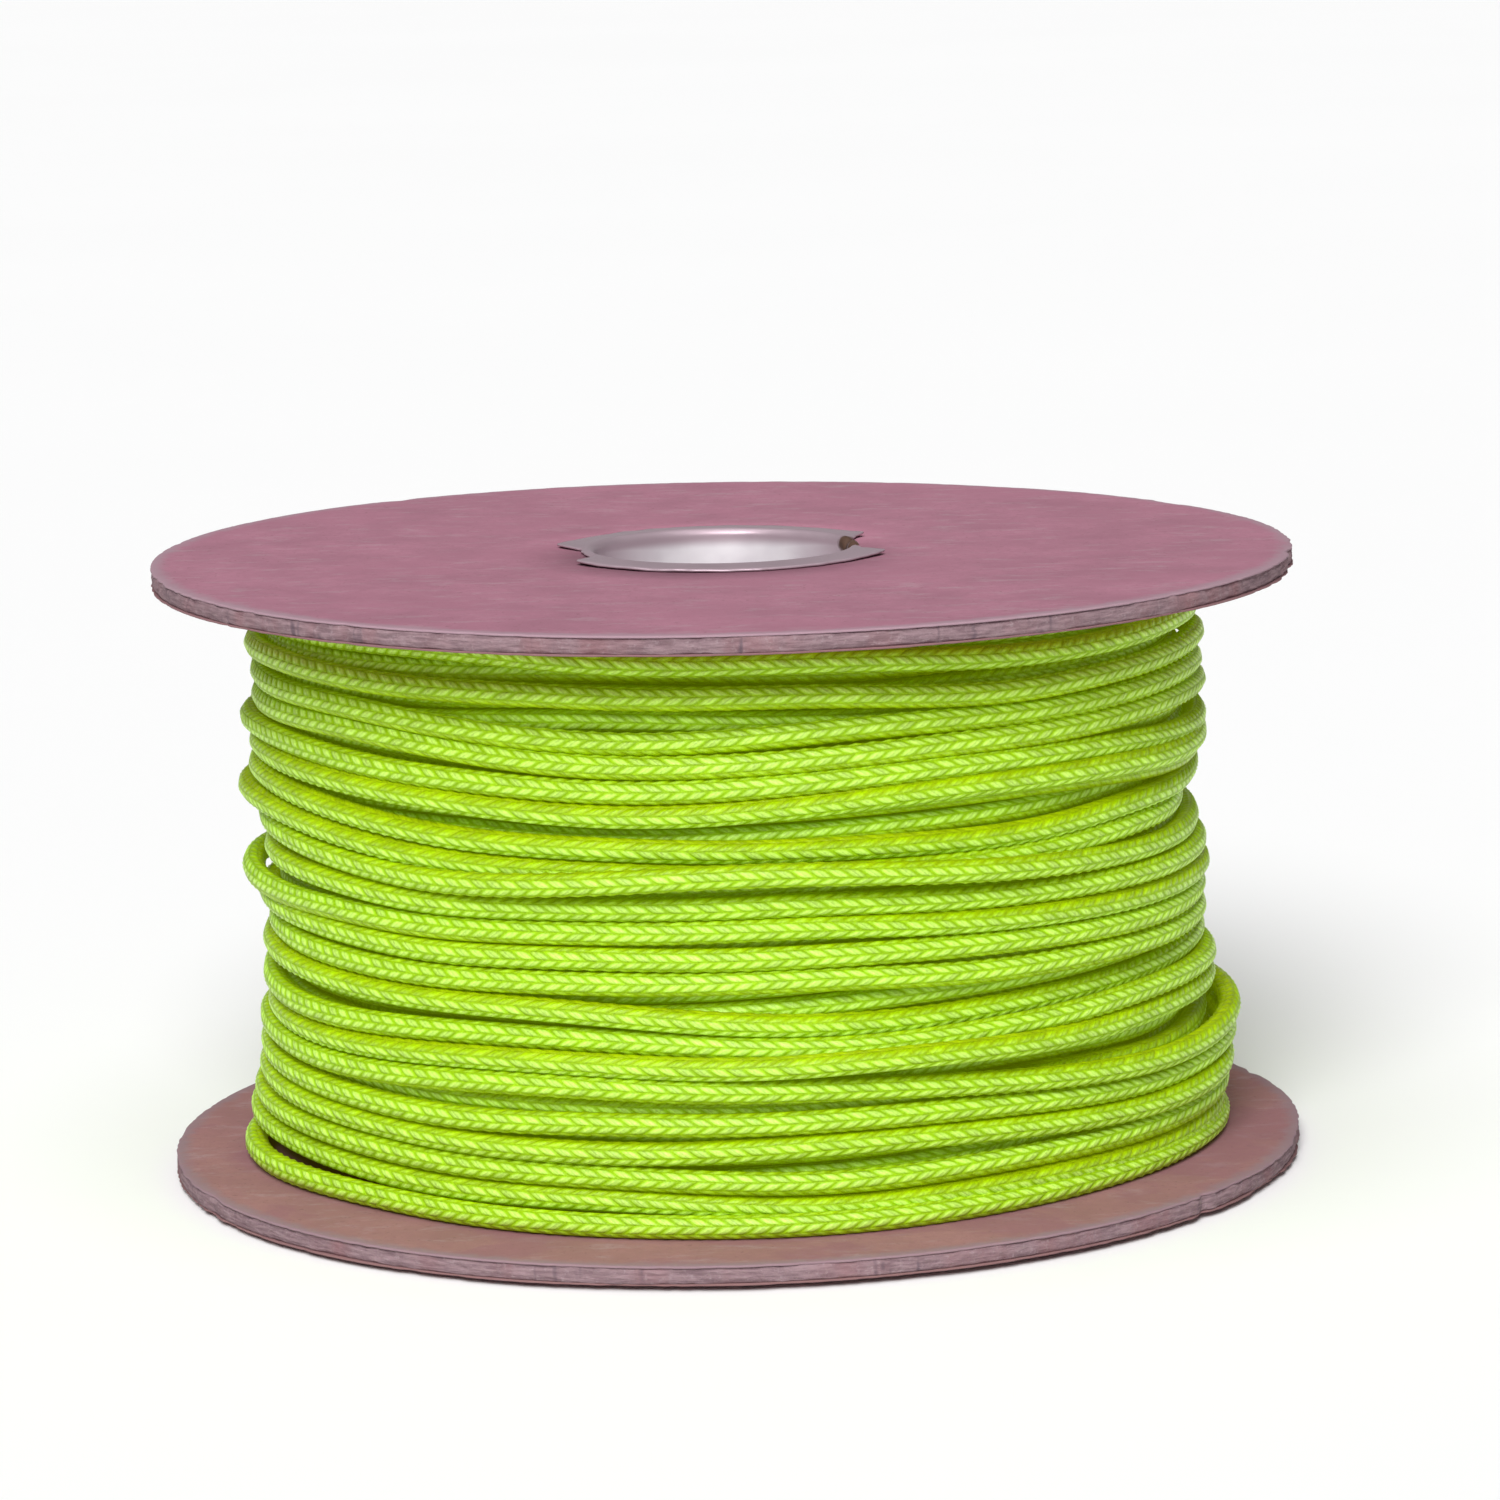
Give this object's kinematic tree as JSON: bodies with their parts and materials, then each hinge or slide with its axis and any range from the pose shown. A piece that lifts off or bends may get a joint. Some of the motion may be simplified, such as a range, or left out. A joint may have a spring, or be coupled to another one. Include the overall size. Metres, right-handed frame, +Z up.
{
  "type": "fishing line spool",
  "caption": "Flanged reel of thick braided line: two pink-faced board flanges on a paperboard barrel, clamped by a flared tin tube, packed with yellow-green cord.",
  "frame": {"origin": "where the reel's axis meets the surface that it stands on, under the lower lip of the core tube", "axes": "+Z up along the reel's axis; -Y towards the viewer of the reference picture; +X to that viewer's right"},
  "size_m": [0.14, 0.14, 0.0762],
  "materials": {
    "grey_board": "matte",
    "pink_paper": "matte",
    "tin_plate": "satin",
    "barrel_board": "matte",
    "braided_cord": "matte"
  },
  "bodies": {
    "root": {"top_flange_board": "grey_board", "top_flange_outer_paper": "pink_paper", "top_flange_inner_paper": "pink_paper", "bottom_flange_board": "grey_board", "bottom_flange_outer_paper": "pink_paper", "bottom_flange_inner_paper": "pink_paper", "core_tube": "tin_plate", "barrel_tube": "barrel_board", "cord_winding": "braided_cord"}
  },
  "joints": []
}
